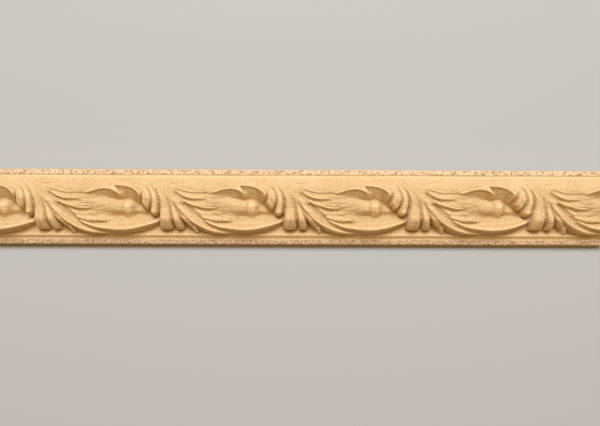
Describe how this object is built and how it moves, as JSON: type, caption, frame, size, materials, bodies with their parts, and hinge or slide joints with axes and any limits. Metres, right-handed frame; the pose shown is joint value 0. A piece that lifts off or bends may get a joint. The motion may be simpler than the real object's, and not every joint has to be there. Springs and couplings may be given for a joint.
{
  "type": "cornice moulding",
  "caption": "Flexible cast moulding strip with a running row of turned-over acanthus leaves between two gritty fillets, glued on by its flat back.",
  "frame": {"origin": "middle of the flat back, at half the strip's length and half its width", "axes": "+X runs along the strip, the way the feathers sweep; +Y points to the long edge that the leaves hang from; +Z points out of the carved face"},
  "size_m": [0.202, 0.025, 0.0092],
  "materials": {
    "cast_tan": "fine-grained tan casting of wood pulp and resin, matt on the leaves, gritty on the fillets"
  },
  "bodies": {
    "root": {"cornice_moulding": "cast_tan"}
  },
  "joints": []
}
